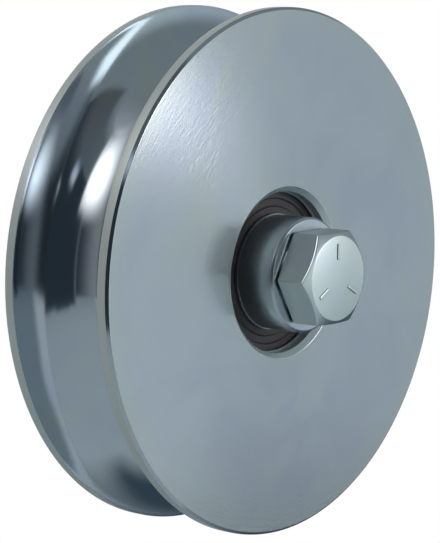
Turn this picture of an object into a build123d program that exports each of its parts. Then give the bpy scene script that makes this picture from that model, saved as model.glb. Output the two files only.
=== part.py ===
from build123d import *

import os
from math import cos, pi, tan

# Round-groove sheave wheel that turns on one sealed ball bearing, clamped between two
# bushes by a hexagon bolt. Millimetres. The axle lies along Y with the bolt's head
# towards -Y, +Z is up, and the origin is the centre of the wheel.

# ---- wheel: turned from bar, with a round-bottomed groove for the rope ----
wheel_diameter = 100.0
rope_diameter = 20.0
rope_clearance = 0.25  # on each side of the rope in the groove's mouth
groove_depth = 11.2
rim_land = 1.9  # flat on the rim each side of the groove
rim_bevel = 0.5  # bevel where the rim meets a face
lip_thickness = 2.85  # shoulder that keeps the bearing in at the front
lip_step = 0.2  # lip's opening beyond the seal's
mouth_chamfer = 0.95  # at the lip's opening
recess_chamfer = 0.8  # at the bearing bore's open back end

# ---- bearing: single row of balls, two riveted cage halves, two rubber seals ----
bearing_bore = 15.0
bearing_outer_diameter = 35.0
bearing_width = 14.0
ball_diameter = 5.953
ball_count = 8
raceway_radius_ratio = 1.03  # raceway radius to ball radius
raceway_depth = 1.54  # from a ring's shoulder to the bottom of its raceway
ring_chamfer = 0.5  # corners of both rings
ball_clearance = 0.02  # between a ball and each raceway
seal_seat_step = 1.25  # outer ring's opening beyond its shoulder
seal_seat_undercut = 0.4  # deepest part of the seat that grips a seal's bead
seal_recess = 0.6  # a seal's face below the rings' faces
seal_bead_height = 0.9  # bead held in the seat
seal_web_height = 0.6  # thin wall between bead and lip
seal_lip_height = 1.1
seal_lip_width = 1.2
seal_groove_depth = 0.55  # in the inner ring, under the lip
seal_clearance = 0.08
cage_sheet = 0.6
cage_clearance = 0.35  # from the cage's rims to the rings' shoulders
pocket_clearance = 0.1  # around each ball
rivet_head_diameter = 1.7
rivet_head_height = 0.35
rivet_shank_ratio = 0.6  # shank to head
rivet_clearance = 0.01

# ---- retaining ring: sprung into a groove behind the bearing ----
retaining_ring_thickness = 1.5
retaining_groove_depth = 1.0
retaining_groove_play = 0.1  # groove width beyond the ring's thickness
retaining_ring_seat_clearance = 0.05
retaining_ring_back_width = 3.4  # radial width opposite the gap
retaining_ring_end_width = 2.2  # radial width at the gap
retaining_lug_reach = 5.4  # from the ring's rim to the lug's inner end
retaining_lug_width = 4.6
retaining_lug_hole = 2.5
retaining_gap = 6.0

# ---- bushes: flanged, one each side of the bearing ----
bush_overhang = 5.35  # past the wheel's face
bush_step = 0.15  # inner ring's shoulder beyond the flange
bush_rim_chamfer = 0.4
bush_bore_clearance = 0.1
bush_bore_chamfer = 0.5
spigot_gap = 1.0  # left between the two spigots
seat_clearance = 0.01  # every pressed or close seat, drawn just clear

# ---- bolt, washers and nut ----
bolt_diameter = 10.0
thread_pitch = 1.5
thread_length = 26.0
thread_crest_allowance = 0.15  # rolled crest below the shank's diameter
bolt_tail = 11.8  # free end past the nut
bolt_tip_chamfer = 1.0
hexagon_across_flats = 17.0
hexagon_chamfer_flat = 15.9  # flat circle inside the chamfer
hexagon_chamfer_angle = 30.0
bolt_head_height = 6.7
washer_face_diameter = 15.6
washer_face_height = 0.4
washer_diameter = 20.0
washer_thickness = 2.0
washer_bore_clearance = 0.25
lock_washer_diameter = 18.1
lock_washer_thickness = 2.2
lock_washer_bore_clearance = 0.1
lock_washer_slit = 0.9
lock_washer_slit_angle = 20.0
nut_height = 8.0
nut_turn = 13.0  # degrees that the nut stopped at
nut_countersink = 0.9

# ---- radii and places along the axle that follow from the sizes above ----
groove_half_width = rope_diameter / 2 + rope_clearance
wheel_radius = wheel_diameter / 2
wheel_width = 2 * (groove_half_width + rim_land + rim_bevel)
front_face = -wheel_width / 2
back_face = wheel_width / 2

bearing_front = front_face + lip_thickness
bearing_back = bearing_front + bearing_width
bearing_middle = (bearing_front + bearing_back) / 2
outer_radius = bearing_outer_diameter / 2
bore_radius = bearing_bore / 2
pitch_radius = (outer_radius + bore_radius) / 2
ball_radius = ball_diameter / 2
raceway_radius = ball_radius * raceway_radius_ratio
inner_raceway_bottom = pitch_radius - ball_radius - ball_clearance
outer_raceway_bottom = pitch_radius + ball_radius + ball_clearance
inner_shoulder = inner_raceway_bottom + raceway_depth
outer_shoulder = outer_raceway_bottom - raceway_depth
seal_seat_radius = outer_shoulder + seal_seat_step
lip_radius = seal_seat_radius + lip_step

bush_radius = inner_shoulder - bush_step
bush_bore_radius = bolt_diameter / 2 + bush_bore_clearance
front_bush_end = front_face - bush_overhang
back_bush_end = back_face + bush_overhang

washer_end = back_bush_end + washer_thickness
lock_washer_end = washer_end + lock_washer_thickness
nut_end = lock_washer_end + nut_height
bolt_end = nut_end + bolt_tail
thread_crest_radius = (bolt_diameter - thread_crest_allowance) / 2
thread_pitch_radius = (bolt_diameter - 0.6495 * thread_pitch) / 2


def turned(points):
    """Solid turned about the axle from (radius, place along the axle) corners."""
    return revolve(make_face(Polyline(*points, close=True)), Axis.Y)


def disc(radius, start, end):
    """Plain cylinder on the axle between two places along it."""
    return turned([(0, start), (radius, start), (radius, end), (0, end)])


def around_axle(angle, radius):
    """Location at a radius from the axle, turned so that its Z axis points outwards."""
    return Rot(0, angle, 0) * Pos(0, 0, radius)


def sheave_wheel():
    """Wheel with its rope groove, front lip, bearing bore and retaining-ring groove."""
    bearing_seat = outer_radius + seat_clearance
    ring_seat = outer_radius + retaining_groove_depth
    ring_groove_end = bearing_back + retaining_ring_thickness + retaining_groove_play
    blank = make_face(
        Polyline(
            (wheel_radius, front_face + rim_bevel),
            (wheel_radius - rim_bevel, front_face),
            (lip_radius + mouth_chamfer, front_face),
            (lip_radius, front_face + mouth_chamfer),
            (lip_radius, bearing_front),
            (bearing_seat, bearing_front),
            (bearing_seat, bearing_back),
            (ring_seat, bearing_back),
            (ring_seat, ring_groove_end),
            (bearing_seat, ring_groove_end),
            (bearing_seat, back_face - recess_chamfer),
            (bearing_seat + recess_chamfer, back_face),
            (wheel_radius - rim_bevel, back_face),
            (wheel_radius, back_face - rim_bevel),
            close=True,
        )
    )
    groove = Pos(wheel_radius, 0) * Ellipse(groove_depth, groove_half_width)
    return revolve(blank - groove, Axis.Y)


def raceway_cutter(bottom, side):
    """Ring of round section that cuts a raceway; side is 1 for the inner ring, -1 for the outer."""
    section = Pos(bottom + side * raceway_radius, bearing_middle) * Circle(raceway_radius)
    return revolve(section, Axis.Y)


def inner_ring():
    """Inner ring: chamfered bore, a seal groove near each face and the inner raceway."""
    half = bearing_width / 2
    groove_floor = inner_shoulder - seal_groove_depth
    groove_start = seal_recess - seal_clearance
    groove_stop = seal_recess + seal_lip_height + seal_clearance
    side = [
        (bore_radius + ring_chamfer, 0),
        (inner_shoulder, 0),
        (inner_shoulder, groove_start),
        (groove_floor, groove_start),
        (groove_floor, groove_stop),
        (inner_shoulder, groove_stop + seal_groove_depth),
    ]
    front = [(r, bearing_front + y) for r, y in side]
    back = [(r, bearing_back - y) for r, y in reversed(side)]
    bore = [
        (bore_radius, bearing_back - ring_chamfer),
        (bore_radius, bearing_front + ring_chamfer),
    ]
    return turned(front + back + bore) - raceway_cutter(inner_raceway_bottom, 1)


def outer_ring():
    """Outer ring: chamfered outside, an undercut seal seat at each face and the outer raceway."""
    seat_floor = seal_recess + seal_bead_height
    undercut = seal_seat_radius + seal_seat_undercut
    side = [
        (outer_radius, ring_chamfer),
        (outer_radius - ring_chamfer, 0),
        (seal_seat_radius, 0),
        (seal_seat_radius, seal_recess - seal_seat_undercut / 2),
        (undercut, seal_recess + seal_seat_undercut / 2),
        (undercut, seat_floor),
        (outer_shoulder, seat_floor),
    ]
    front = [(r, bearing_front + y) for r, y in side]
    back = [(r, bearing_back - y) for r, y in reversed(side)]
    return turned(front + back) - raceway_cutter(outer_raceway_bottom, -1)


def seal(face, inwards):
    """Moulded seal: a bead in the outer ring's seat, a web and a lip over the inner ring's groove.

    face is the bearing's face and inwards is +1 or -1, the way into the bearing from it.
    """
    bead_rim = seal_seat_radius + seal_seat_undercut - seal_clearance
    bead_inner = outer_shoulder + seal_clearance
    lip_tip = inner_shoulder - seal_groove_depth + seal_clearance
    lip_outer = inner_shoulder + seal_lip_width
    web_face = seal_recess + (seal_bead_height - seal_web_height)
    web_back = web_face + seal_web_height - seal_clearance
    lip_face = seal_recess
    lip_back = seal_recess + seal_lip_height
    corners = [
        (bead_rim, seal_recess + seal_seat_undercut / 2),
        (seal_seat_radius - seal_clearance, seal_recess),
        (bead_inner, seal_recess),
        (bead_inner - seal_web_height / 2, web_face),
        (lip_outer + seal_web_height / 2, web_face),
        (lip_outer, lip_face),
        (inner_shoulder + seal_clearance, lip_face),
        (lip_tip, lip_face + seal_lip_height / 2),
        (lip_tip, lip_back),
        (lip_outer, web_back),
        (bead_rim, web_back),
    ]
    return turned([(r, face + inwards * y) for r, y in corners])


def ball_angles():
    """Angles of the balls about the axle, the first one straight up."""
    return [360 * n / ball_count for n in range(ball_count)]


def ball(angle):
    """One ball on the pitch circle."""
    return Pos(0, bearing_middle, 0) * around_axle(angle, pitch_radius) * Sphere(ball_radius)


def pocket_outside():
    """Outer radius of a cage pocket."""
    return ball_radius + pocket_clearance + cage_sheet


def rivet_angles():
    """Angles halfway between neighbouring balls."""
    return [angle + 180 / ball_count for angle in ball_angles()]


def rivet_place(angle):
    """Location of a rivet on the cage's joint, with its Y axis along the axle."""
    return Pos(0, bearing_middle, 0) * around_axle(angle, pitch_radius)


def cage_half(side):
    """One pressed ribbon: flat at the joint, domed round each ball; side is -1 in front, 1 behind."""
    inner_rim = inner_shoulder + cage_clearance
    outer_rim = outer_shoulder - cage_clearance
    joint = bearing_middle

    def ribbon(depth):
        """Ring between the cage's rims, from the joint to a depth on this half's side."""
        end = joint + side * depth
        return turned([(inner_rim, joint), (outer_rim, joint), (outer_rim, end), (inner_rim, end)])

    ribs = ribbon(pocket_outside())
    half = ribbon(cage_sheet)
    pocket_inside = ball_radius + pocket_clearance
    places = [Pos(0, joint, 0) * around_axle(angle, pitch_radius) for angle in ball_angles()]
    for place in places:
        half += ribs & (place * Sphere(pocket_outside()))
    for place in places:
        half -= place * Sphere(pocket_inside)
    hole_radius = rivet_head_diameter / 2 * rivet_shank_ratio + rivet_clearance
    for angle in rivet_angles():
        half -= rivet_place(angle) * Rot(90, 0, 0) * Cylinder(hole_radius, 4 * cage_sheet)
    return half


def cage_rivets():
    """Rivets that join the two cage halves, with a low head on each side."""
    head = rivet_head_diameter / 2
    shank = head * rivet_shank_ratio
    top = cage_sheet + rivet_head_height
    rivet = turned(
        [
            (0, -top),
            (shank, -top),
            (head, -cage_sheet - rivet_head_height / 3),
            (head, -cage_sheet),
            (shank, -cage_sheet),
            (shank, cage_sheet),
            (head, cage_sheet),
            (head, cage_sheet + rivet_head_height / 3),
            (shank, top),
            (0, top),
        ]
    )
    return Compound(children=[rivet_place(angle) * rivet for angle in rivet_angles()])


def retaining_ring():
    """Internal retaining ring: widest opposite its gap, with a drilled lug at each end."""
    rim = outer_radius + retaining_groove_depth - retaining_ring_seat_clearance
    inside_radius = rim - (retaining_ring_back_width + retaining_ring_end_width) / 2
    inside_offset = (retaining_ring_back_width - retaining_ring_end_width) / 2
    lug_middle = rim - retaining_lug_reach / 2
    lug_angle = (retaining_gap + retaining_lug_width) / 2 / lug_middle * 180 / pi
    outline = Circle(rim) - Pos(0, inside_offset) * Circle(inside_radius)
    for side in (-1, 1):
        lug = Pos(0, lug_middle) * RectangleRounded(
            retaining_lug_width, retaining_lug_reach, retaining_lug_width / 3
        )
        outline += Rot(0, 0, side * lug_angle) * lug & Circle(rim)
    outline -= Pos(0, rim) * Rectangle(retaining_gap, 2 * retaining_lug_reach)
    for side in (-1, 1):
        hole_place = rim - retaining_lug_reach + retaining_lug_width / 2
        outline -= Rot(0, 0, side * lug_angle) * Pos(0, hole_place) * Circle(retaining_lug_hole / 2)
    plane = Plane(origin=(0, bearing_back, 0), x_dir=(-1, 0, 0), z_dir=(0, 1, 0))
    return extrude(plane * outline, retaining_ring_thickness)


def bush(ring_face, end):
    """Flanged bush: its flange runs from the inner ring to the bush's end, its spigot into the ring."""
    out = 1 if end > ring_face else -1
    spigot_radius = bore_radius - seat_clearance
    spigot_length = (bearing_width - spigot_gap) / 2
    return turned(
        [
            (bush_bore_radius, ring_face - out * spigot_length),
            (spigot_radius - ring_chamfer, ring_face - out * spigot_length),
            (spigot_radius, ring_face - out * (spigot_length - ring_chamfer)),
            (spigot_radius, ring_face),
            (bush_radius, ring_face),
            (bush_radius, end - out * bush_rim_chamfer),
            (bush_radius - bush_rim_chamfer, end),
            (bush_bore_radius + bush_bore_chamfer, end),
            (bush_bore_radius, end - out * bush_bore_chamfer),
        ]
    )


def hexagon_blank(start, end, turn=0.0):
    """Hexagonal prism on the axle with two corners level, at turn degrees from there."""
    plane = Plane(origin=(0, start, 0), x_dir=(1, 0, 0), z_dir=(0, 1, 0))
    outline = RegularPolygon(hexagon_across_flats / 2, 6, major_radius=False, rotation=turn)
    return extrude(plane * outline, end - start)


def chamfer_cone(top, inwards, length):
    """Turned envelope that chamfers a hexagon's end at top; inwards is +1 or -1 along the axle."""
    flat = hexagon_chamfer_flat / 2
    outside = hexagon_across_flats / 2 / cos(pi / 6)
    drop = (outside - flat) * tan(hexagon_chamfer_angle * pi / 180)
    return turned(
        [
            (0, top),
            (flat, top),
            (outside, top + inwards * drop),
            (outside, top + inwards * length),
            (0, top + inwards * length),
        ]
    )


def axle_bolt():
    """Hexagon bolt, its thread a cylinder: at the crest where free, at the pitch line in the nut."""
    underside = front_bush_end - washer_face_height
    head_top = underside - bolt_head_height
    shank_radius = bolt_diameter / 2
    thread_start = bolt_end - thread_length
    head = hexagon_blank(head_top, underside) & chamfer_cone(head_top, 1, bolt_head_height)
    head += disc(washer_face_diameter / 2, underside, front_bush_end)
    stem = turned(
        [
            (0, underside),
            (shank_radius, underside),
            (shank_radius, thread_start),
            (thread_crest_radius, thread_start + thread_pitch),
            (thread_crest_radius, lock_washer_end),
            (thread_pitch_radius, lock_washer_end),
            (thread_pitch_radius, nut_end),
            (thread_crest_radius, nut_end),
            (thread_crest_radius, bolt_end - bolt_tip_chamfer),
            (thread_crest_radius - bolt_tip_chamfer, bolt_end),
            (0, bolt_end),
        ]
    )
    return head + stem


def plain_washer():
    """Flat washer against the back bush."""
    bore = bolt_diameter / 2 + washer_bore_clearance
    blank = disc(washer_diameter / 2, back_bush_end, washer_end)
    return blank - disc(bore, back_bush_end, washer_end)


def lock_washer():
    """Split spring washer, pressed flat under the nut, with its slanting slit upwards."""
    bore = bolt_diameter / 2 + lock_washer_bore_clearance
    ring = disc(lock_washer_diameter / 2, washer_end, lock_washer_end)
    ring -= disc(bore, washer_end, lock_washer_end)
    middle = (washer_end + lock_washer_end) / 2
    slit = Box(lock_washer_slit, 3 * lock_washer_thickness, lock_washer_diameter)
    slit_place = Pos(0, middle, lock_washer_diameter / 2) * Rot(0, 0, lock_washer_slit_angle)
    return ring - slit_place * slit


def axle_nut():
    """Hexagon nut, chamfered at both faces and countersunk into its bore."""
    bore = thread_pitch_radius + seat_clearance
    blank = hexagon_blank(lock_washer_end, nut_end, nut_turn)
    blank &= chamfer_cone(lock_washer_end, 1, nut_height)
    blank &= chamfer_cone(nut_end, -1, nut_height)
    hole = turned(
        [
            (0, lock_washer_end),
            (bore + nut_countersink, lock_washer_end),
            (bore, lock_washer_end + nut_countersink),
            (bore, nut_end - nut_countersink),
            (bore + nut_countersink, nut_end),
            (0, nut_end),
        ]
    )
    return blank - hole


def all_parts():
    """Every piece by its name, in the frame of the whole."""
    parts = {
        "sheave_wheel": sheave_wheel(),
        "bearing_outer_ring": outer_ring(),
        "bearing_inner_ring": inner_ring(),
        "cage_front_half": cage_half(-1),
        "cage_back_half": cage_half(1),
        "cage_rivets": cage_rivets(),
        "seal_front": seal(bearing_front, 1),
        "seal_back": seal(bearing_back, -1),
        "retaining_ring": retaining_ring(),
        "front_bush": bush(bearing_front, front_bush_end),
        "back_bush": bush(bearing_back, back_bush_end),
        "axle_bolt": axle_bolt(),
        "plain_washer": plain_washer(),
        "lock_washer": lock_washer(),
        "axle_nut": axle_nut(),
    }
    for number, angle in enumerate(ball_angles(), 1):
        parts[f"ball_{number}"] = ball(angle)
    return parts


os.makedirs("parts", exist_ok=True)
for name, piece in all_parts().items():
    piece.label = name
    export_step(piece, f"parts/{name}.step")
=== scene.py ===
"""Looks of a round-groove sheave wheel on its sealed bearing, bushes and hexagon bolt.

Metres throughout. The axle lies along Y with the bolt's head towards -Y, +Z is up, and the
origin is the centre of the wheel. Places along the axle are y values, and radii are
distances from the axle.
"""

import logging
from dataclasses import dataclass, field
from enum import Enum, IntEnum
from math import atan2, cos, hypot, pi, radians, sin, tan
from typing import Callable, Iterable, Sequence, Union

import bmesh
import bpy
from mathutils import Matrix, Vector


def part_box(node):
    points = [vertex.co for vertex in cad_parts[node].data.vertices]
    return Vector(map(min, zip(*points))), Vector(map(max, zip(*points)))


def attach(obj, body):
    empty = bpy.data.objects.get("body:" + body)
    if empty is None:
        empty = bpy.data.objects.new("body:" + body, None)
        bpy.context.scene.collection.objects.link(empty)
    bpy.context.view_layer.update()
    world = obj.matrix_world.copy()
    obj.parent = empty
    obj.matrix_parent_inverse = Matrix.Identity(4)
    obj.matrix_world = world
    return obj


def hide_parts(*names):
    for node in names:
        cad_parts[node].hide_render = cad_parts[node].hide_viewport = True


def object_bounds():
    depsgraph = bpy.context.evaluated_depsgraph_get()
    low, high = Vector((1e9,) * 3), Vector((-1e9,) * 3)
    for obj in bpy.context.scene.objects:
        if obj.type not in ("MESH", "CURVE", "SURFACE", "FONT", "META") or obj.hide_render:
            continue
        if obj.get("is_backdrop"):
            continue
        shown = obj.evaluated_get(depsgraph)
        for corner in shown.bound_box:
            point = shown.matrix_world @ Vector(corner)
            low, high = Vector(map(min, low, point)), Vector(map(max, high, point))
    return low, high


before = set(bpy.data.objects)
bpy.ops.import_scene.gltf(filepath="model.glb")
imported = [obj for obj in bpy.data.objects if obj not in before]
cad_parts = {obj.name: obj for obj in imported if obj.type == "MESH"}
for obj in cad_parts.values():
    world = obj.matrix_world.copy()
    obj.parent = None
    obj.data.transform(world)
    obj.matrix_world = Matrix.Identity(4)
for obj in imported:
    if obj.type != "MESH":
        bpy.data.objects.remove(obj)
CAD_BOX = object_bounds()

MM = 0.001
TURN_STEPS = 360
RING_STEPS = 120
STAGE_STEPS = 96
CARD_STEP = radians(4)
SHARP_ANGLE = radians(12)
EDGE_ANGLE = radians(20)
MERGE_DISTANCE = 0.001 * MM
QUARTER_TURN = 0.25
WHITE = (1.0, 1.0, 1.0)

Point = tuple[float, float]
Band = tuple[float, float, float, float]
Colour = tuple[float, float, float]
Ring = Callable[[float], Point]
Socket = bpy.types.NodeSocket
Value = Union[float, Sequence[float], Socket]

log = logging.getLogger("sheave")


class Slot(Enum):
    """Names of material slots in the record; no piece here takes its finish from them."""

    WHEEL = "wheel_zinc"
    BUSH = "bush_zinc"
    FASTENER = "fastener_zinc"


# ---------------- meshes


def oval_arc(centre: Point, reach: Point, start: float, stop: float, steps: int) -> list[Point]:
    """Points along a stretch of an oval in a profile.

    Args:
        centre: Radius and place of the oval's centre.
        reach: Half its size away from the axle, and half its size along it.
        start: Angle of the first point in degrees, 0 outwards and 90 towards +Y.
        stop: Angle of the last point.
        steps: How many chords make the stretch.

    Returns:
        The points from start to stop, both included.
    """
    angles = [radians(start + (stop - start) * n / steps) for n in range(steps + 1)]
    return [(centre[0] + reach[0] * cos(a), centre[1] + reach[1] * sin(a)) for a in angles]


def turned(profile: Sequence[Point]) -> bmesh.types.BMesh:
    """Solid turned about the axle from a closed profile.

    Args:
        profile: Corners as (radius, place along the axle), in order.

    Returns:
        A closed mesh with its faces pointing outwards.
    """
    form = bmesh.new()
    corners = [form.verts.new((radius, place, 0.0)) for radius, place in profile]
    sides = [form.edges.new(pair) for pair in zip(corners, corners[1:] + corners[:1])]
    bmesh.ops.spin(form, geom=corners + sides, cent=(0, 0, 0), axis=(0, 1, 0), dvec=(0, 0, 0),
                   angle=2 * pi, steps=TURN_STEPS, use_merge=True, use_duplicate=False)
    bmesh.ops.recalc_face_normals(form, faces=form.faces)
    return form


def ring_stack(rings: Sequence[Ring], capped: bool) -> bmesh.types.BMesh:
    """Solid skinned over a row of rings about the axle.

    Args:
        rings: Each gives a (radius, place) for an angle from +Z towards +X.
        capped: True closes both ends with a face, False joins the last ring to the first.

    Returns:
        A closed mesh with its faces pointing outwards.
    """
    form = bmesh.new()
    flat = Matrix.Rotation(pi / 2, 4, "X")
    bmesh.ops.create_circle(form, segments=RING_STEPS, radius=1.0, cap_ends=capped, matrix=flat)
    loop = list(form.edges)
    first = loop
    for number, ring in enumerate(rings):
        if number:
            grown = bmesh.ops.extrude_edge_only(form, edges=loop)["geom"]
            fresh = {item for item in grown if isinstance(item, bmesh.types.BMVert)}
            loop = [item for item in grown
                    if isinstance(item, bmesh.types.BMEdge) and set(item.verts) <= fresh]
        for corner in {corner for edge in loop for corner in edge.verts}:
            angle = atan2(corner.co.x, corner.co.z)
            radius, place = ring(angle)
            corner.co = (radius * sin(angle), place, radius * cos(angle))
    if capped:
        bmesh.ops.holes_fill(form, edges=loop, sides=0)
    else:
        bmesh.ops.bridge_loops(form, edges=first + loop)
    bmesh.ops.recalc_face_normals(form, faces=form.faces)
    return form


def round_ring(radius: float, place: float) -> Ring:
    """Plain circle about the axle."""
    return lambda angle: (radius, place)


def break_edges(form: bmesh.types.BMesh, width: float, segments: int = 2,
                chosen: Callable[[bmesh.types.BMEdge], bool] = lambda edge: True) -> None:
    """Rounds the sharp edges of a form a little.

    Args:
        form: The mesh to change.
        width: How far the rounding reaches from each edge.
        segments: How many faces make the rounding.
        chosen: Says whether a sharp edge is to be rounded.
    """
    edges = [edge for edge in form.edges if edge.calc_face_angle(0.0) > EDGE_ANGLE and chosen(edge)]
    bmesh.ops.bevel(form, geom=edges, offset=width, offset_type="OFFSET", segments=segments,
                    profile=0.5, affect="EDGES", clamp_overlap=True, material=-1)


def piece_from(name: str, form: bmesh.types.BMesh,
               materials: Sequence[bpy.types.Material]) -> bpy.types.Object:
    """Turns a form into a smooth-shaded object whose true edges stay crisp.

    Args:
        name: The object's name.
        form: The finished mesh, which is freed.
        materials: What its faces' material numbers point to.

    Returns:
        The new object, at the origin.
    """
    for face in form.faces:
        face.smooth = True
    for edge in form.edges:
        edge.smooth = edge.calc_face_angle(0.0) < SHARP_ANGLE
    mesh = bpy.data.meshes.new(name)
    form.to_mesh(mesh)
    form.free()
    for material in materials:
        mesh.materials.append(material)
    piece = bpy.data.objects.new(name, mesh)
    bpy.context.scene.collection.objects.link(piece)
    return piece


# ---------------- node trees


class Desk:
    """Adds and joins nodes in one node tree."""

    def __init__(self, tree: bpy.types.NodeTree) -> None:
        """Starts work on a node tree."""
        self.tree = tree

    def feed(self, target: Socket, value: Value) -> None:
        """Joins a socket to an input, or writes a plain value on it."""
        if isinstance(value, Socket):
            self.tree.links.new(value, target)
        else:
            target.default_value = value

    def add(self, kind: str, inputs: dict[str | int, Value] | None = None,
            **settings: object) -> bpy.types.Node:
        """Adds a node.

        Args:
            kind: The node's type.
            inputs: Values or sockets for its inputs, by name or number.
            **settings: The node's own properties.

        Returns:
            The new node.
        """
        node = self.tree.nodes.new(kind)
        for key, value in settings.items():
            setattr(node, key, value)
        for key, value in (inputs or {}).items():
            self.feed(node.inputs[key], value)
        return node

    def maths(self, operation: str, *values: Value) -> Socket:
        """Result of a Math node over values or sockets."""
        node = self.add("ShaderNodeMath", operation=operation)
        for socket, value in zip(node.inputs, values):
            self.feed(socket, value)
        return node.outputs[0]

    def times(self, first: Value, second: Value) -> Socket:
        """Product of two values."""
        return self.maths("MULTIPLY", first, second)

    def span(self, value: Value, low: float, high: float, start: float = 0.0,
             stop: float = 1.0) -> Socket:
        """Smooth step of a value from start at low to stop at high."""
        node = self.add("ShaderNodeMapRange", {"Value": value, "From Min": low, "From Max": high,
                                               "To Min": start, "To Max": stop},
                        interpolation_type="SMOOTHSTEP")
        return node.outputs["Result"]

    def blend(self, amount: Value, first: Value, second: Value) -> Socket:
        """Colour between two colours."""
        node = self.add("ShaderNodeMix", data_type="RGBA")
        for number, value in ((0, amount), (6, first), (7, second)):
            self.feed(node.inputs[number], value)
        return node.outputs[2]

    def noise(self, vector: Value, scale: Value, detail: float, **more: Value) -> Socket:
        """Factor of a Noise Texture; w=... makes it four-dimensional."""
        inputs: dict[str, Value] = {"Vector": vector, "Scale": scale, "Detail": detail}
        inputs.update({key.title(): value for key, value in more.items()})
        node = self.add("ShaderNodeTexNoise", noise_dimensions="4D" if "w" in more else "3D")
        for key, value in inputs.items():
            self.feed(node.inputs[key], value)
        return node.outputs[0]


def start_group(name: str, colours: Sequence[str],
                numbers: Sequence[str]) -> tuple[Desk, bpy.types.Node, bpy.types.Node]:
    """Makes a node group that gives a surface's colour, roughness and height.

    Args:
        name: The group's name.
        colours: Names of its colour inputs.
        numbers: Names of its other inputs.

    Returns:
        A desk for its tree, its input node and its output node.
    """
    tree = bpy.data.node_groups.new(name, "ShaderNodeTree")
    colour, number = "NodeSocketColor", "NodeSocketFloat"
    sockets = [(key, "INPUT", colour) for key in colours]
    sockets += [(key, "INPUT", number) for key in numbers]
    sockets += [("Color", "OUTPUT", colour), ("Roughness", "OUTPUT", number),
                ("Height", "OUTPUT", number)]
    for key, way, kind in sockets:
        tree.interface.new_socket(name=key, in_out=way, socket_type=kind)
    desk = Desk(tree)
    return desk, desk.add("NodeGroupInput"), desk.add("NodeGroupOutput")


def polar_place(desk: Desk) -> tuple[Socket, Socket, Socket, bpy.types.Node]:
    """Place of a point on the piece, seen about the axle.

    Args:
        desk: Where the nodes go.

    Returns:
        The point itself, its distance from the axle, its place along it, and a node
        whose X and Z outputs are the direction from the axle.
    """
    point = desk.add("ShaderNodeTexCoord").outputs["Object"]
    parts = desk.add("ShaderNodeSeparateXYZ", {"Vector": point})
    across = desk.add("ShaderNodeCombineXYZ", {"X": parts.outputs["X"], "Z": parts.outputs["Z"]})
    distance = desk.add("ShaderNodeVectorMath", {0: across.outputs[0]},
                        operation="LENGTH").outputs["Value"]
    unit = desk.add("ShaderNodeVectorMath", {0: across.outputs[0]}, operation="NORMALIZE")
    direction = desk.add("ShaderNodeSeparateXYZ", {"Vector": unit.outputs[0]})
    return point, distance, parts.outputs["Y"], direction


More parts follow.
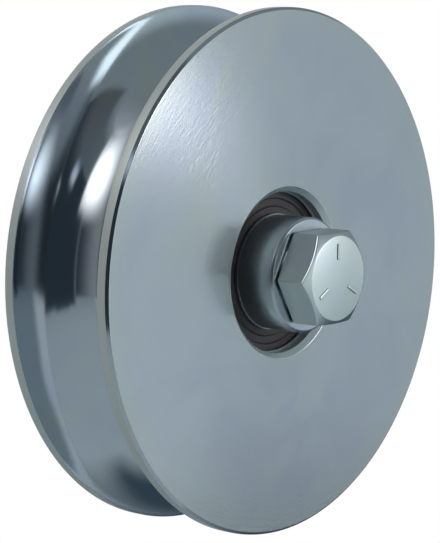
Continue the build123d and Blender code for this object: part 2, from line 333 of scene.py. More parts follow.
@dataclass(frozen=True)
class PlatingPattern:
    """Layout of the zinc plate's clouds and marks.

    A band is two values of a noise and what they turn into, with a smooth step between.
    """

    cool_band: Band = (0.36, 0.64, 0.0, 1.0)
    warm_band: Band = (0.5, 0.72, 0.0, 1.0)
    warm_shift: Colour = (0.31, 0.17, 0.23)
    warm_scale: float = 0.8
    edge_reach: float = 6 * MM
    edge_band: Band = (-1.0, 0.6, 0.0, 0.8)
    edge_patches: Band = (0.3, 0.6, 0.35, 1.0)
    mark_depth: Band = (0.35, 0.65, 0.4, 1.0)
    mark_share: float = 0.4
    mean_noise: float = 0.7
    least_roughness: float = 0.03

    def group(self) -> bpy.types.NodeTree:
        """Colour clouds, turning marks and grain of zinc plate over turned or forged steel."""
        desk, given, made = start_group(
            "zinc_plating", ("Base", "Cool Tint", "Warm Tint"),
            ("Tint Amount", "Cloud Size", "Warm Inside", "Warm Outside", "Roughness",
             "Roughness Spread", "Mark Width", "Mark Turn", "Mark Height", "Grain Size",
             "Grain Height", "Slope"))
        ask = given.outputs
        point, distance, place, direction = polar_place(desk)

        cloud_scale = desk.maths("DIVIDE", 1.0, ask["Cloud Size"])
        clouds = desk.noise(point, cloud_scale, 3.0, distortion=0.8)
        other = desk.add("ShaderNodeVectorMath", {0: point, 1: self.warm_shift},
                         operation="ADD").outputs[0]
        warm_clouds = desk.noise(other, desk.times(cloud_scale, self.warm_scale), 2.0,
                                 distortion=0.5)
        cool = desk.times(desk.span(clouds, *self.cool_band), ask["Tint Amount"])
        warm = desk.times(desk.span(warm_clouds, *self.warm_band), ask["Tint Amount"])
        to_bore = desk.maths("SUBTRACT", ask["Warm Inside"], distance)
        to_rim = desk.maths("SUBTRACT", distance, ask["Warm Outside"])
        nearest = desk.maths("MAXIMUM", desk.maths("DIVIDE", to_bore, self.edge_reach),
                             desk.maths("DIVIDE", to_rim, self.edge_reach))
        edge = desk.times(desk.span(nearest, *self.edge_band),
                          desk.span(clouds, *self.edge_patches))
        warm = desk.maths("MAXIMUM", warm, edge)
        colour = desk.blend(warm, desk.blend(cool, ask["Base"], ask["Cool Tint"]),
                            ask["Warm Tint"])

        per_mark = desk.maths("DIVIDE", 1.0, ask["Mark Width"])
        per_turn = desk.maths("DIVIDE", 1.0, ask["Mark Turn"])
        around = desk.add("ShaderNodeCombineXYZ", {
            "X": desk.times(direction.outputs["X"], per_turn),
            "Y": desk.times(place, per_mark),
            "Z": desk.times(direction.outputs["Z"], per_turn)})
        marks = desk.noise(around.outputs[0], 1.0, 1.0, w=desk.times(distance, per_mark))
        grain = desk.noise(point, desk.maths("DIVIDE", 1.0, ask["Grain Size"]), 2.0)
        depth = desk.span(warm_clouds, *self.mark_depth)
        height = desk.maths("ADD", desk.times(desk.times(marks, depth), ask["Mark Height"]),
                            desk.times(grain, ask["Grain Height"]))
        height = desk.maths("ADD", height, desk.times(place, ask["Slope"]))
        uneven = desk.maths("ADD", clouds, desk.times(marks, self.mark_share))
        uneven = desk.maths("SUBTRACT", uneven, self.mean_noise)
        roughness = desk.maths("ADD", ask["Roughness"],
                               desk.times(uneven, ask["Roughness Spread"]))

        desk.feed(made.inputs["Color"], colour)
        desk.feed(made.inputs["Roughness"],
                  desk.maths("MAXIMUM", roughness, self.least_roughness))
        desk.feed(made.inputs["Height"], height)
        return desk.tree


@dataclass(frozen=True)
class MouldedSkin:
    """Layout of the dust on moulded rubber."""

    patch_size: float = 3 * MM
    dust_band: Band = (0.45, 0.75, 0.0, 1.0)
    dust_roughness: float = 0.4

    def group(self) -> bpy.types.NodeTree:
        """Dusty, slightly uneven skin of moulded rubber."""
        desk, given, made = start_group(
            "moulded_skin", ("Base", "Dust"),
            ("Dust Amount", "Roughness", "Grain Size", "Grain Height"))
        ask = given.outputs
        point = desk.add("ShaderNodeTexCoord").outputs["Object"]
        patches = desk.noise(point, 1 / self.patch_size, 4.0, distortion=1.0)
        grain = desk.noise(point, desk.maths("DIVIDE", 1.0, ask["Grain Size"]), 2.0)
        dusty = desk.times(desk.span(patches, *self.dust_band), ask["Dust Amount"])
        roughness = desk.maths("ADD", ask["Roughness"], desk.times(dusty, self.dust_roughness))
        desk.feed(made.inputs["Color"], desk.blend(dusty, ask["Base"], ask["Dust"]))
        desk.feed(made.inputs["Roughness"], roughness)
        desk.feed(made.inputs["Height"], desk.times(grain, ask["Grain Height"]))
        return desk.tree


# ---------------- finishes


@dataclass(frozen=True)
class SurfaceFinish:
    """A finish whose colour, roughness and bump come from a shared node group."""

    name: str
    metallic: float
    settings: dict[str, object]
    brushed: float = 0.0
    edge_tint: Colour = WHITE

    def material(self, group: bpy.types.NodeTree) -> bpy.types.Material:
        """Builds the material.

        Args:
            group: Node group that paints the surface.

        Returns:
            The new material.
        """
        material = bpy.data.materials.new(self.name)
        material.use_nodes = True
        tree = material.node_tree
        desk = Desk(tree)
        shader = tree.nodes["Principled BSDF"]
        painted = desk.add("ShaderNodeGroup", node_tree=group)
        for key, value in self.settings.items():
            colour = isinstance(value, tuple)
            painted.inputs[key].default_value = (*value, 1.0) if colour else value
        bump = desk.add("ShaderNodeBump", {"Height": painted.outputs["Height"],
                                           "Strength": 1.0, "Distance": 1.0})
        desk.feed(shader.inputs["Base Color"], painted.outputs["Color"])
        desk.feed(shader.inputs["Roughness"], painted.outputs["Roughness"])
        desk.feed(shader.inputs["Normal"], bump.outputs["Normal"])
        shader.inputs["Metallic"].default_value = self.metallic
        shader.inputs["Specular Tint"].default_value = (*self.edge_tint, 1.0)
        if self.brushed:
            tangent = desk.add("ShaderNodeTangent", direction_type="RADIAL", axis="Y")
            desk.feed(shader.inputs["Tangent"], tangent.outputs["Tangent"])
            shader.inputs["Anisotropic"].default_value = self.brushed
            shader.inputs["Anisotropic Rotation"].default_value = QUARTER_TURN
        return material


@dataclass(frozen=True)
class Zinc:
    """A zinc-plated or bare steel finish.

    Inside the radius warm_inside, and outside warm_outside, the plate turns straw-coloured.
    slope is the rise along the axle of a surface that the tool left slightly tapered,
    edge_tint is what is left of a reflection seen at a grazing angle, and metallic is the
    share that mirrors, because a satin plate scatters the rest.
    """

    name: str
    roughness: float
    spread: float
    tint: float
    mark_width: float = 0.3 * MM
    mark_height: float = 0.0
    grain_height: float = 0.0
    brightness: float = 1.0
    warm_inside: float = 0.0
    warm_outside: float = 1.0
    cloud_size: float = 22 * MM
    brushed: float = 0.0
    slope: float = 0.0
    edge_tint: Colour = WHITE
    metallic: float = 1.0
    base: Colour = (0.51, 0.57, 0.60)
    cool_tint: Colour = (0.47, 0.52, 0.59)
    warm_tint: Colour = (0.52, 0.58, 0.54)
    mark_turn: float = 0.05
    grain_size: float = 0.35 * MM

    def shade(self, colour: Colour) -> Colour:
        """A colour at this finish's brightness."""
        return tuple(part * self.brightness for part in colour)

    def material(self, group: bpy.types.NodeTree) -> bpy.types.Material:
        """Builds the material.

        Args:
            group: Node group of the plating.

        Returns:
            The new material.
        """
        settings = {
            "Base": self.shade(self.base), "Cool Tint": self.shade(self.cool_tint),
            "Warm Tint": self.shade(self.warm_tint), "Tint Amount": self.tint,
            "Cloud Size": self.cloud_size, "Warm Inside": self.warm_inside,
            "Warm Outside": self.warm_outside, "Roughness": self.roughness,
            "Roughness Spread": self.spread, "Mark Width": self.mark_width,
            "Mark Turn": self.mark_turn, "Mark Height": self.mark_height,
            "Grain Size": self.grain_size, "Grain Height": self.grain_height,
            "Slope": self.slope}
        return SurfaceFinish(self.name, self.metallic, settings, self.brushed,
                             self.edge_tint).material(group)


class Finishes:
    """Every material of the object, made once."""

    def __init__(self) -> None:
        """Builds the node groups and the materials that use them."""
        plate = PlatingPattern().group()
        skin = MouldedSkin().group()
        self.face = Zinc(
            "zinc_face", roughness=0.16, spread=0.08, tint=1.0, mark_width=0.32 * MM,
            mark_height=0.020 * MM, grain_height=0.007 * MM, warm_inside=17 * MM,
            warm_outside=48 * MM, brushed=0.6, metallic=0.72).material(plate)
        self.groove = Zinc(
            "zinc_groove", roughness=0.11, spread=0.06, tint=0.6, mark_width=0.5 * MM,
            mark_height=0.0008 * MM, cloud_size=14 * MM).material(plate)
        # The rim lands' near-black edge tint is painted shade: it darkens their grazing reflections
        # in place of the shadowing between their turning marks. Their darker plate is partly a
        # duller finish and partly the same painted shade.
        self.rim = Zinc(
            "zinc_rim", roughness=0.33, spread=0.08, tint=0.5, mark_width=0.25 * MM,
            mark_height=0.004 * MM, grain_height=0.002 * MM, brightness=0.82,
            warm_outside=40 * MM, slope=0.2, edge_tint=(0.10, 0.12, 0.11),
            metallic=0.35).material(plate)
        # The bore's plate is half as bright again as the face's, a painted highlight standing in
        # for the light that its mouth chamfer catches.
        self.bore = Zinc(
            "zinc_bore", roughness=0.45, spread=0.10, tint=0.5, mark_height=0.006 * MM,
            grain_height=0.002 * MM, brightness=1.5, warm_inside=30 * MM).material(plate)
        self.bush = Zinc(
            "zinc_bush", roughness=0.30, spread=0.10, tint=0.8, mark_height=0.001 * MM,
            grain_height=0.0006 * MM, cloud_size=6 * MM).material(plate)
        self.fastener = Zinc(
            "zinc_fastener", roughness=0.30, spread=0.10, tint=0.6, mark_width=0.6 * MM,
            grain_height=0.0015 * MM, brightness=1.28, warm_inside=24 * MM,
            cloud_size=7 * MM, edge_tint=(0.7, 0.7, 0.7)).material(plate)
        self.ground = Zinc(
            "ground_steel", roughness=0.30, spread=0.05, tint=0.2, mark_width=0.2 * MM,
            mark_height=0.001 * MM, brightness=0.75).material(plate)
        self.pressed = Zinc(
            "pressed_steel", roughness=0.32, spread=0.10, tint=0.4, mark_width=0.5 * MM,
            grain_height=0.004 * MM, brightness=0.95).material(plate)
        self.ball = Zinc(
            "polished_ball", roughness=0.05, spread=0.02, tint=0.1, mark_width=0.5 * MM,
            brightness=1.3).material(plate)
        self.spring = Zinc(
            "black_spring_steel", roughness=0.38, spread=0.12, tint=0.5, mark_width=0.5 * MM,
            grain_height=0.004 * MM, brightness=0.16).material(plate)
        self.rubber = SurfaceFinish("nitrile_rubber", 0.0, {
            "Base": (0.038, 0.031, 0.032), "Dust": (0.09, 0.08, 0.08), "Dust Amount": 0.3,
            "Roughness": 0.42, "Grain Size": 0.3 * MM,
            "Grain Height": 0.004 * MM}).material(skin)


class Assembly:
    """A sub-assembly that makes its own pieces, or dresses those packed."""

    def build(self, finishes: Finishes) -> list[bpy.types.Object]:
        """Makes or dresses the pieces.

        Args:
            finishes: The object's materials.

        Returns:
            The pieces.
        """
        raise NotImplementedError


# ---------------- the wheel


class WheelSkin(IntEnum):
    """Material numbers of the wheel's faces."""

    FACE = 0
    GROOVE = 1
    RIM = 2
    BORE = 3


@dataclass
class SheaveWheel(Assembly):
    """The turned wheel, with a finish of its own for each cut the lathe made."""

    rim_bevel: float = 0.5 * MM
    groove_depth: float = 11.2 * MM
    groove_half_width: float = 10.25 * MM
    mouth_rounding: float = 0.08 * MM
    lip_thickness: float = 2.85 * MM
    lip_radius: float = 15.4 * MM
    mouth_chamfer: float = 0.95 * MM
    bearing_seat: float = 17.51 * MM
    bearing_width: float = 14.0 * MM
    ring_groove_depth: float = 0.99 * MM
    ring_groove_width: float = 1.6 * MM
    recess_chamfer: float = 0.8 * MM
    edge_break: float = 0.07 * MM
    groove_steps: int = 60
    mouth_steps: int = 5
    groove_margin: float = 1.002
    level_rim: float = 0.95
    flat_face: float = 0.9
    low: Vector = field(default_factory=lambda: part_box("sheave_wheel")[0])
    high: Vector = field(default_factory=lambda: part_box("sheave_wheel")[1])

    @property
    def radius(self) -> float:
        """Radius of the rims."""
        return self.high.x

    def profile(self) -> list[Point]:
        """Section through one side of the wheel, from the front rim round to the groove."""
        front = self.low.y
        back = self.high.y
        seat_start = front + self.lip_thickness
        seat_end = seat_start + self.bearing_width
        ring_end = seat_end + self.ring_groove_width
        ring_seat = self.bearing_seat + self.ring_groove_depth
        corners = [
            (self.radius, front + self.rim_bevel),
            (self.radius - self.rim_bevel, front),
            (self.lip_radius + self.mouth_chamfer, front),
            (self.lip_radius, front + self.mouth_chamfer),
            (self.lip_radius, seat_start),
            (self.bearing_seat, seat_start),
            (self.bearing_seat, seat_end),
            (ring_seat, seat_end),
            (ring_seat, ring_end),
            (self.bearing_seat, ring_end),
            (self.bearing_seat, back - self.recess_chamfer),
            (self.bearing_seat + self.recess_chamfer, back),
            (self.radius - self.rim_bevel, back),
            (self.radius, back - self.rim_bevel),
        ]
        return corners + oval_arc((self.radius, 0.0), (self.groove_depth, self.groove_half_width),
                                  90, 270, self.groove_steps)

    def at_mouth(self, edge: bmesh.types.BMEdge) -> bool:
        """Whether an edge lies where the groove meets a rim."""
        middle = (edge.verts[0].co + edge.verts[1].co) / 2
        return (hypot(middle.x, middle.z) > self.radius - self.rim_bevel / 2
                and abs(middle.y) < self.high.y - 2 * self.rim_bevel)

    def skin_of(self, face: bmesh.types.BMFace) -> WheelSkin:
        """Which cut a face belongs to.

        Args:
            face: A face of the wheel.

        Returns:
            The number of its material.
        """
        middle = face.calc_center_median()
        radius = hypot(middle.x, middle.z)
        inwards = (radius - self.radius) / self.groove_depth
        if hypot(inwards, middle.y / self.groove_half_width) < self.groove_margin:
            return WheelSkin.GROOVE
        if radius > self.radius - self.rim_bevel:
            level = hypot(face.normal.x, face.normal.z) > self.level_rim
            return WheelSkin.RIM if level else WheelSkin.GROOVE
        if abs(face.normal.y) > self.flat_face and abs(middle.y) > self.high.y - self.edge_break:
            return WheelSkin.FACE
        return WheelSkin.BORE

    def build(self, finishes: Finishes) -> list[bpy.types.Object]:
        """Turns the wheel and puts its finishes on."""
        form = turned(self.profile())
        break_edges(form, self.mouth_rounding, self.mouth_steps, self.at_mouth)
        break_edges(form, self.edge_break)
        for face in form.faces:
            face.material_index = self.skin_of(face)
        wheel = piece_from("sheave_wheel_finished", form,
                           [finishes.face, finishes.groove, finishes.rim, finishes.bore])
        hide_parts("sheave_wheel")
        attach(wheel, "wheel")
        return [wheel]


# ---------------- bolt, nut and bushes


@dataclass(frozen=True)
class Hexagon:
    """Outline of a wrench hexagon with two corners level, and its chamfer."""

    across_flats: float = 17.0 * MM
    chamfer_flat: float = 7.95 * MM
    chamfer_angle: float = radians(30)

    def radius(self, angle: float) -> float:
        """Distance from the axle to the outline at an angle from +Z."""
        from_flat = (angle + pi / 6) % (pi / 3) - pi / 6
        return self.across_flats / 2 / cos(from_flat)

    def side_ring(self, place: float) -> Ring:
        """The outline at a place along the axle."""
        return lambda angle: (self.radius(angle), place)

    def chamfer_ring(self, top: float, inwards: int) -> Ring:
        """Where the chamfer meets the flats.

        Args:
            top: Place of the chamfered end.
            inwards: +1 or -1, the way into the metal from there.

        Returns:
            The wavy ring.
        """
        def ring(angle: float) -> Point:
            """Radius and place of the ring at an angle."""
            radius = self.radius(angle)
            return radius, top + inwards * (radius - self.chamfer_flat) * tan(self.chamfer_angle)

        return ring


@dataclass
class AxleBolt(Assembly):
    """Hexagon bolt with its washer face, raised grade dashes and a cut thread."""

    hexagon: Hexagon = Hexagon()
    washer_face_radius: float = 7.8 * MM
    washer_face_height: float = 0.4 * MM
    head_height: float = 6.7 * MM
    shank_radius: float = 5.0 * MM
    thread_length: float = 26.0 * MM
    thread_pitch: float = 1.5 * MM
    crest_radius: float = 4.925 * MM
    root_radius: float = 4.06 * MM
    crest_flat: float = 0.19 * MM
    root_flat: float = 0.33 * MM
    tip_chamfer: float = 1.0 * MM
    tip_cuts: tuple[float, ...] = (0.0, 0.33, 0.67, 1.0)
    steps_per_turn: int = 60
    edge_break: float = 0.14 * MM
    dash_length: float = 3.0 * MM
    dash_width: float = 0.75 * MM
    dash_height: float = 0.22 * MM
    dash_radius: float = 5.0 * MM
    dash_rounding: float = 0.8
    dash_angles: tuple[float, ...] = (0.0, 120.0, 240.0)
    low: Vector = field(default_factory=lambda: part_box("axle_bolt")[0])
    high: Vector = field(default_factory=lambda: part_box("axle_bolt")[1])

    def head_and_shank(self) -> bmesh.types.BMesh:
        """The head, its washer face and the plain shank."""
        top = self.low.y
        underside = top + self.head_height
        seat = underside + self.washer_face_height
        shank_end = self.high.y - self.thread_length + self.thread_pitch / 2
        form = ring_stack([
            round_ring(self.hexagon.chamfer_flat, top),
            self.hexagon.chamfer_ring(top, 1),
            self.hexagon.side_ring(underside),
            round_ring(self.washer_face_radius, underside),
            round_ring(self.washer_face_radius, seat),
            round_ring(self.shank_radius, seat),
            round_ring(self.shank_radius, shank_end),
        ], capped=True)
        break_edges(form, self.edge_break)
        return form

    def thread(self) -> bmesh.types.BMesh:
        """The thread, from just inside the shank to the chamfered tip."""
        start = self.high.y - self.thread_length
        stop = self.high.y
        flank = (self.thread_pitch - self.crest_flat - self.root_flat) / 2
        first = start - 2 * self.thread_pitch
        ridge = [
            (self.root_radius, 0.0),
            (self.root_radius, self.root_flat),
            (self.crest_radius, self.root_flat + flank),
            (self.crest_radius, self.root_flat + flank + self.crest_flat),
            (self.root_radius, self.thread_pitch),
        ]
        turns = int((stop - first) / self.thread_pitch) + 2
        form = bmesh.new()
        corners = [form.verts.new((radius, first + place, 0.0)) for radius, place in ridge]
        sides = [form.edges.new(pair) for pair in zip(corners, corners[1:])]
        bmesh.ops.spin(form, geom=corners + sides, cent=(0, 0, 0), axis=(0, 1, 0),
                       dvec=(0, self.thread_pitch / self.steps_per_turn, 0), angle=2 * pi * turns,
                       steps=self.steps_per_turn * turns, use_merge=False, use_duplicate=False)
        bmesh.ops.remove_doubles(form, verts=form.verts, dist=MERGE_DISTANCE)
        tip_start = stop - self.tip_chamfer
        cuts = [start] + [tip_start + self.tip_chamfer * share for share in self.tip_cuts]
        for place in cuts:
            bmesh.ops.bisect_plane(form, geom=[*form.verts, *form.edges, *form.faces],
                                   dist=MERGE_DISTANCE, plane_co=(0, place, 0),
                                   plane_no=(0, 1, 0), clear_inner=place == start,
                                   clear_outer=place == cuts[-1])
        for corner in form.verts:
            allowed = self.crest_radius - max(0.0, corner.co.y - tip_start)
            radius = hypot(corner.co.x, corner.co.z)
            if radius > allowed:
                corner.co.x *= allowed / radius
                corner.co.z *= allowed / radius
        rims = [edge for edge in form.edges if edge.is_boundary]
        bmesh.ops.holes_fill(form, edges=rims, sides=0)
        bmesh.ops.recalc_face_normals(form, faces=form.faces)
        return form

    def grade_dashes(self) -> bmesh.types.BMesh:
        """Short raised radial dashes on the head, plain marks with no lettering."""
        form = bmesh.new()
        for angle in self.dash_angles:
            size = Matrix.Diagonal((self.dash_width, 2 * self.dash_height, self.dash_length, 1.0))
            place = Matrix.Translation((0.0, self.low.y, self.dash_radius))
            turn = Matrix.Rotation(radians(angle), 4, "Y")
            bmesh.ops.create_cube(form, size=1.0, matrix=turn @ place @ size)
        bmesh.ops.bevel(form, geom=list(form.edges), offset=self.dash_height * self.dash_rounding,
                        offset_type="OFFSET", segments=3, profile=0.5, affect="EDGES",
                        clamp_overlap=True, material=-1)
        return form

    def build(self, finishes: Finishes) -> list[bpy.types.Object]:
        """Makes the bolt in one piece."""
        form = self.head_and_shank()
        for extra in (self.thread(), self.grade_dashes()):
            spare = bpy.data.meshes.new("spare")
            extra.to_mesh(spare)
            extra.free()
            form.from_mesh(spare)
            bpy.data.meshes.remove(spare)
        bolt = piece_from("axle_bolt_threaded", form, [finishes.fastener])
        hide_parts("axle_bolt")
        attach(bolt, "axle")
        return [bolt]


@dataclass
class AxleNut(Assembly):
    """Hexagon nut with both faces chamfered, at the angle it stopped at."""

    hexagon: Hexagon = Hexagon()
    bore_radius: float = 4.53 * MM
    countersink: float = 0.9 * MM
    turn: float = radians(13)
    edge_break: float = 0.12 * MM
    low: Vector = field(default_factory=lambda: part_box("axle_nut")[0])
    high: Vector = field(default_factory=lambda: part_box("axle_nut")[1])

    def build(self, finishes: Finishes) -> list[bpy.types.Object]:
        """Makes the nut."""
        near = self.low.y
        far = self.high.y
        mouth = self.bore_radius + self.countersink
        form = ring_stack([
            round_ring(self.bore_radius, near + self.countersink),
            round_ring(mouth, near),
            round_ring(self.hexagon.chamfer_flat, near),
            self.hexagon.chamfer_ring(near, 1),
            self.hexagon.chamfer_ring(far, -1),
            round_ring(self.hexagon.chamfer_flat, far),
            round_ring(mouth, far),
            round_ring(self.bore_radius, far - self.countersink),
        ], capped=False)
        bmesh.ops.rotate(form, verts=form.verts, cent=(0, 0, 0),
                         matrix=Matrix.Rotation(self.turn, 3, "Y"))
        break_edges(form, self.edge_break)
        nut = piece_from("axle_nut_finished", form, [finishes.fastener])
        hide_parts("axle_nut")
        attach(nut, "axle")
        return [nut]


@dataclass
class Bush(Assembly):
    """Flanged bush between the bearing's inner ring and what clamps it."""

    node: str
    outwards: int
    flange_length: float
    bore_radius: float = 5.1 * MM
    spigot_radius: float = 7.49 * MM
    spigot_chamfer: float = 0.5 * MM
    rim_chamfer: float = 0.4 * MM
    bore_chamfer: float = 0.5 * MM
    edge_break: float = 0.08 * MM

    def build(self, finishes: Finishes) -> list[bpy.types.Object]:
        """Turns the bush."""
        low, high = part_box(self.node)
        out = self.outwards
        end = high.y if out > 0 else low.y
        inner_end = low.y if out > 0 else high.y
        seat = end - out * self.flange_length
        form = turned([
            (self.bore_radius, inner_end),
            (self.spigot_radius - self.spigot_chamfer, inner_end),
            (self.spigot_radius, inner_end + out * self.spigot_chamfer),
            (self.spigot_radius, seat),
            (high.x, seat),
            (high.x, end - out * self.rim_chamfer),
            (high.x - self.rim_chamfer, end),
            (self.bore_radius + self.bore_chamfer, end),
            (self.bore_radius, end - out * self.bore_chamfer),
        ])
        break_edges(form, self.edge_break)
        bush = piece_from(f"{self.node}_finished", form, [finishes.bush])
        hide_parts(self.node)
        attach(bush, "axle")
        return [bush]


class CarriedPieces(Assembly):
    """The solids whose form is right as packed, which only get their finish here."""

    def build(self, finishes: Finishes) -> list[bpy.types.Object]:
        """Puts a finish on every carried piece."""
        dress = {
            "bearing_outer_ring": finishes.ground,
            "bearing_inner_ring": finishes.ground,
            "cage_front_half": finishes.pressed,
            "cage_back_half": finishes.pressed,
            "cage_rivets": finishes.pressed,
            "seal_front": finishes.rubber,
            "seal_back": finishes.rubber,
            "retaining_ring": finishes.spring,
            "plain_washer": finishes.fastener,
            "lock_washer": finishes.fastener,
        }
        dress.update({name: finishes.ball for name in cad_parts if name.startswith("ball_")})
        for name, material in dress.items():
            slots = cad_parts[name].data.materials
            slots.clear()
            slots.append(material)
        return [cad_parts[name] for name in dress]


# ---------------- studio


@dataclass(frozen=True)
class Card:
    """A curved reflector, flag or softbox round the object, or a painted pool of light or painted
    shadow lying over the floor, seen only in reflections.

    Azimuths are degrees from -X towards -Y, and elevations degrees above the level, both
    seen from the origin. soft holds how many degrees the left, right, bottom and top edges
    take to fade, and lean how far the soft sides move to the right for each degree up.
    lies_at is the height of a card that lies flat, and lights lets a card light the matt parts.
    """

    name: str
    azimuths: Point
    elevations: Point
    glow: Colour
    glow_right: Colour | None = None
    distance: float = 1.2
    soft: Band = (0.0, 0.0, 0.0, 0.0)
    lean: float = 0.0
    lights: bool = False
    lies_at: float | None = None
    least_fade: float = 1e-4

    @property
    def spare(self) -> float:
        """Degrees of extra width that let the soft sides lean."""
        return abs(self.lean) * (self.elevations[1] - self.elevations[0]) / 2

    def material(self) -> bpy.types.Material:
        """Glow that runs from one side of the card to the other and fades at soft edges."""
        material = bpy.data.materials.new(self.name)
        material.use_nodes = True
        tree = material.node_tree
        tree.nodes.clear()
        desk = Desk(tree)
        point = desk.add("ShaderNodeTexCoord").outputs["Object"]
        middle = radians(sum(self.azimuths) / 2)
        half = radians(self.azimuths[1]) - middle
        ahead, aside = (
            desk.add("ShaderNodeVectorMath", {0: point, 1: way},
                     operation="DOT_PRODUCT").outputs["Value"]
            for way in ((-cos(middle), -sin(middle), 0.0), (sin(middle), -cos(middle), 0.0)))
        across = desk.maths("ARCTAN2", aside, ahead)
        glow = desk.blend(desk.span(across, -half, half), (*self.glow, 1.0),
                          (*(self.glow_right or self.glow), 1.0))
        surface = desk.add("ShaderNodeEmission", {"Color": glow, "Strength": 1.0}).outputs[0]
        if any(self.soft):
            level = desk.maths("SQRT", desk.maths("ADD", desk.times(ahead, ahead),
                                                  desk.times(aside, aside)))
            height = desk.add("ShaderNodeSeparateXYZ", {"Vector": point}).outputs["Z"]
            rise = desk.maths("ARCTAN2", height, level)
            low, high = (radians(value) for value in self.elevations)
            left, right, bottom, top = (max(radians(value), self.least_fade)
                                        for value in self.soft)
            lean = desk.times(desk.maths("SUBTRACT", rise, (low + high) / 2), self.lean)
            across = desk.maths("SUBTRACT", across, lean)
            mask = desk.times(desk.span(across, -half, left - half),
                              desk.span(across, half - right, half, 1.0, 0.0))
            mask = desk.times(mask, desk.span(rise, low, low + bottom))
            mask = desk.times(mask, desk.span(rise, high - top, high, 1.0, 0.0))
            mixed = desk.add("ShaderNodeMixShader", {0: mask})
            desk.feed(mixed.inputs[1], desk.add("ShaderNodeBsdfTransparent").outputs[0])
            desk.feed(mixed.inputs[2], surface)
            surface = mixed.outputs[0]
        desk.add("ShaderNodeOutputMaterial", {"Surface": surface})
        return material

    def section(self) -> list[Point]:
        """The card's two edges as (distance, height), seen from the side."""
        rises = [tan(radians(value)) for value in self.elevations]
        if self.lies_at is None:
            return [(self.distance, self.distance * rise) for rise in rises]
        return [(self.lies_at / rise, self.lies_at) for rise in rises]

    def build(self) -> bpy.types.Object:
        """Makes the card and hides it from everything but reflections."""
        left = radians(self.azimuths[0] - self.spare)
        right = radians(self.azimuths[1] + self.spare)
        form = bmesh.new()
        ends = [form.verts.new((-reach * cos(left), -reach * sin(left), height))
                for reach, height in self.section()]
        side = form.edges.new(ends)
        steps = round((right - left) / CARD_STEP)
        bmesh.ops.spin(form, geom=[*ends, side], cent=(0, 0, 0), axis=(0, 0, 1), dvec=(0, 0, 0),
                       angle=right - left, steps=steps, use_merge=False, use_duplicate=False)
        card = piece_from(self.name, form, [self.material()])
        hide_from_view(card, self.lights)
        return card


def hide_from_view(card: bpy.types.Object, lights: bool) -> None:
    """Leaves a card visible to reflections, and to diffuse surfaces if it lights them."""
    card.visible_camera = False
    card.visible_shadow = False
    card.visible_transmission = False
    card.visible_diffuse = lights
    card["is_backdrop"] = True


# Reflectors, flags and softboxes, from the left of the camera round to its right, then painted
# pools of light and a painted shadow lying over the floor.
NAVY = (0.026, 0.038, 0.050)
DEEP_NAVY = (0.023, 0.036, 0.046)
CARDS = (
    Card("back_wall", (-182, -27), (-16, 69), (0.60, 0.62, 0.64), (0.36, 0.38, 0.40), distance=1.3),
    Card("rear_light", (-143, -115), (1, 48), (3.1, 3.1, 3.2), distance=1.1,
         soft=(6, 7, 8, 12), lean=0.5),
    Card("left_dark_card", (-114, -50), (-13, 46), (0.04, 0.045, 0.055), distance=1.2,
         soft=(6, 6, 0, 22)),
    Card("left_card", (-57, -35), (-15, 44), (0.04, 0.05, 0.06), (0.27, 0.29, 0.31),
         distance=1.18, soft=(4, 0, 0, 16)),
    Card("left_inner_card", (-36, 12), (-18, 69), (0.27, 0.29, 0.31),
         (0.035, 0.045, 0.06), distance=1.15),
    Card("left_softbox", (-62, 38), (20, 77), (3.5, 3.4, 3.45), distance=0.95,
         soft=(62, 38, 26, 34), lean=-0.3, lights=True),
    Card("flag_left", (6, 25), (-17, 31), NAVY, distance=0.88, soft=(10, 0, 0, 9)),
    Card("flag_middle", (24, 50), (-18, 40), NAVY, distance=0.82),
    Card("flag_right", (49, 72), (-17, 40), NAVY, DEEP_NAVY, distance=0.88),
    Card("flag_far_right", (71, 104), (21, 40), DEEP_NAVY, (0.023, 0.038, 0.050), distance=0.9),
    Card("middle_card", (73, 99), (-14, 21), (0.62, 0.70, 0.72), distance=1.05, soft=(4, 0, 0, 0)),
    Card("upper_flag", (19, 107), (26, 67), (0.13, 0.16, 0.18), (0.11, 0.12, 0.13),
         distance=0.85, soft=(8, 5, 16, 8), lean=-0.1),
    Card("small_lamp", (48, 66), (27, 39), (0.60, 0.68, 0.80), distance=0.8, soft=(7, 7, 5, 5)),
    Card("right_back_card", (10, 195), (-15, 69), (0.24, 0.28, 0.31),
         (0.24, 0.28, 0.30), distance=1.1),
    Card("right_front_card", (97, 162), (-15.5, 26), (0.92, 1.03, 1.09),
         (0.35, 0.42, 0.47), distance=1.0, soft=(0, 12, 0, 20)),
    Card("right_edge_card", (150, 180), (-12, 3), (1.15, 1.25, 1.22), distance=0.99,
         soft=(9, 8, 5, 7)),
    Card("right_softbox", (107, 130), (-1.6, 22.5), (6.2, 5.95, 6.3), distance=0.45,
         soft=(9, 9, 4.5, 10), lean=-0.9, lights=True),
    # Painted pools of light: glowing sheets just over the floor, seen only in reflections, standing
    # in for the floor where the lamps light it at the back left and the front right.
    Card("painted_floor_light_pool", (-158, -46), (-56, -12), (0.92, 0.93, 0.98),
         soft=(8, 14, 14, 0), lean=0.6, lies_at=-0.246),
    Card("floor_glow", (106, 139.5), (-26, -13), (0.78, 0.86, 0.90),
         soft=(12, 6, 9, 0), lies_at=-0.2465),
    # Painted shadow: a dark sheet just over the floor, seen only in reflections, standing in for
    # the wheel's own shadow on the floor under and in front of it.
    Card("dark_board", (106, 215), (-87, -14), (0.05, 0.08, 0.10),
         soft=(26, 20, 32, 7), lean=0.54, lies_at=-0.245),
)


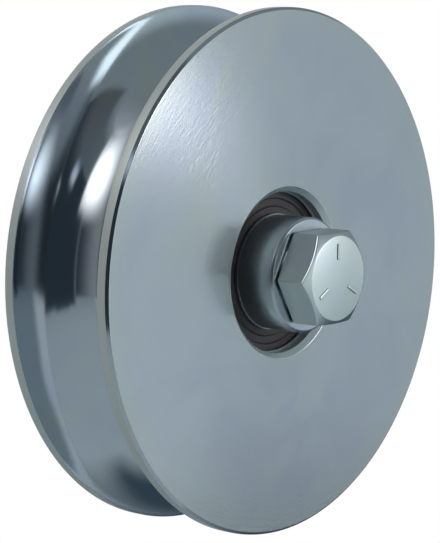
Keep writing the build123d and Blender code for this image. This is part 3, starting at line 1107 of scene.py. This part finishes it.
@dataclass
class Studio:
    """Camera, floor, white surroundings, flags and softboxes."""

    aim: Vector = field(default_factory=lambda: Vector((-1.9, 1.95, -0.85)) * MM)
    distance: float = 449.3 * MM
    heading: float = radians(39.78)
    tilt: float = radians(7.77)
    lens: float = 154.6
    sensor: float = 36.0
    floor_height: float = -0.25
    floor_radius: float = 1.25
    floor_shift: Vector = field(default_factory=lambda: Vector((-0.408, -0.339, 0.0)))
    floor_colour: Colour = (0.56, 0.65, 0.70)
    floor_roughness: float = 0.8
    ambient: float = 0.5
    ceiling_height: float = 3.4
    ceiling_radius: float = 1.5
    ceiling_glow: Colour = (0.25, 0.28, 0.30)
    ceiling_glow_left: Colour = (0.43, 0.46, 0.50)
    ceiling_fade: Point = (-1.34, 0.18)
    nearest_seen: float = 0.01

    def aim_camera(self) -> None:
        """Makes the camera."""
        level = Vector((cos(self.heading), sin(self.heading), 0.0))
        forward = level * cos(self.tilt) - Vector((0, 0, sin(self.tilt)))
        right = Vector((sin(self.heading), -cos(self.heading), 0.0))
        up = right.cross(forward)
        data = bpy.data.cameras.new("camera")
        data.lens = self.lens
        data.sensor_width = self.sensor
        data.clip_start = self.nearest_seen
        camera = bpy.data.objects.new("camera", data)
        turn = Matrix((right, up, -forward)).transposed().to_4x4()
        camera.matrix_world = Matrix.Translation(self.aim - forward * self.distance) @ turn
        bpy.context.scene.collection.objects.link(camera)
        bpy.context.scene.camera = camera

    def lay_floor(self) -> None:
        """Makes the plain pale floor."""
        form = bmesh.new()
        place = Matrix.Translation(self.floor_shift + Vector((0, 0, self.floor_height)))
        bmesh.ops.create_circle(form, segments=STAGE_STEPS, radius=self.floor_radius,
                                cap_ends=True, matrix=place)
        material = bpy.data.materials.new("floor")
        material.use_nodes = True
        shader = material.node_tree.nodes["Principled BSDF"]
        shader.inputs["Base Color"].default_value = (*self.floor_colour, 1.0)
        shader.inputs["Roughness"].default_value = self.floor_roughness
        piece_from("floor", form, [material])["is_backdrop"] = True

    def hang_ceiling(self) -> None:
        """Makes the dim ceiling that the metal mirrors."""
        form = bmesh.new()
        place = Matrix.Translation((0, 0, self.ceiling_height))
        bmesh.ops.create_circle(form, segments=STAGE_STEPS, radius=self.ceiling_radius,
                                cap_ends=True, matrix=place)
        material = bpy.data.materials.new("ceiling")
        material.use_nodes = True
        material.node_tree.nodes.clear()
        desk = Desk(material.node_tree)
        point = desk.add("ShaderNodeTexCoord").outputs["Object"]
        across = desk.add("ShaderNodeSeparateXYZ", {"Vector": point})
        tone = desk.blend(desk.span(across.outputs["X"], *self.ceiling_fade),
                          (*self.ceiling_glow_left, 1.0), (*self.ceiling_glow, 1.0))
        glow = desk.add("ShaderNodeEmission", {"Color": tone, "Strength": 1.0})
        desk.add("ShaderNodeOutputMaterial", {"Surface": glow.outputs[0]})
        hide_from_view(piece_from("ceiling", form, [material]), False)

    def light_world(self) -> None:
        """White where the camera, metal or glass looks, and a softer ambient elsewhere."""
        world = bpy.data.worlds.new("world")
        bpy.context.scene.world = world
        world.use_nodes = True
        desk = Desk(world.node_tree)
        path = desk.add("ShaderNodeLightPath").outputs
        looked_at = desk.maths("MAXIMUM", path["Is Camera Ray"], path["Is Glossy Ray"])
        looked_at = desk.maths("MAXIMUM", looked_at, path["Is Transmission Ray"])
        strength = desk.span(looked_at, 0.0, 1.0, self.ambient, 1.0)
        background = world.node_tree.nodes["Background"]
        background.inputs["Color"].default_value = (*WHITE, 1.0)
        desk.feed(background.inputs["Strength"], strength)

    def build(self) -> None:
        """Sets the whole studio up."""
        bpy.context.scene.view_settings.view_transform = "Standard"
        self.aim_camera()
        self.lay_floor()
        self.hang_ceiling()
        self.light_world()
        for card in CARDS:
            card.build()


def corners(box: Iterable[Iterable[float]]) -> list[list[float]]:
    """A box as plain lists of numbers."""
    return [[float(value) for value in corner] for corner in box]


def main() -> None:
    """Builds the studio and every sub-assembly, and works out the bounds of the CAD and of the
    finished pieces.
    """
    logging.basicConfig(level=logging.INFO, format="%(name)s: %(message)s")
    Studio().build()
    finishes = Finishes()
    assemblies = [
        SheaveWheel(),
        AxleBolt(),
        AxleNut(),
        Bush("front_bush", -1, 8.2 * MM),
        Bush("back_bush", 1, 13.8 * MM),
        CarriedPieces(),
    ]
    for assembly in assemblies:
        for piece in assembly.build(finishes):
            log.info("%s: %s, %d faces", type(assembly).__name__, piece.name,
                     len(piece.data.polygons))
    {"cad": corners(CAD_BOX), "visual": corners(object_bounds())}


if __name__ == "__main__":
    main()
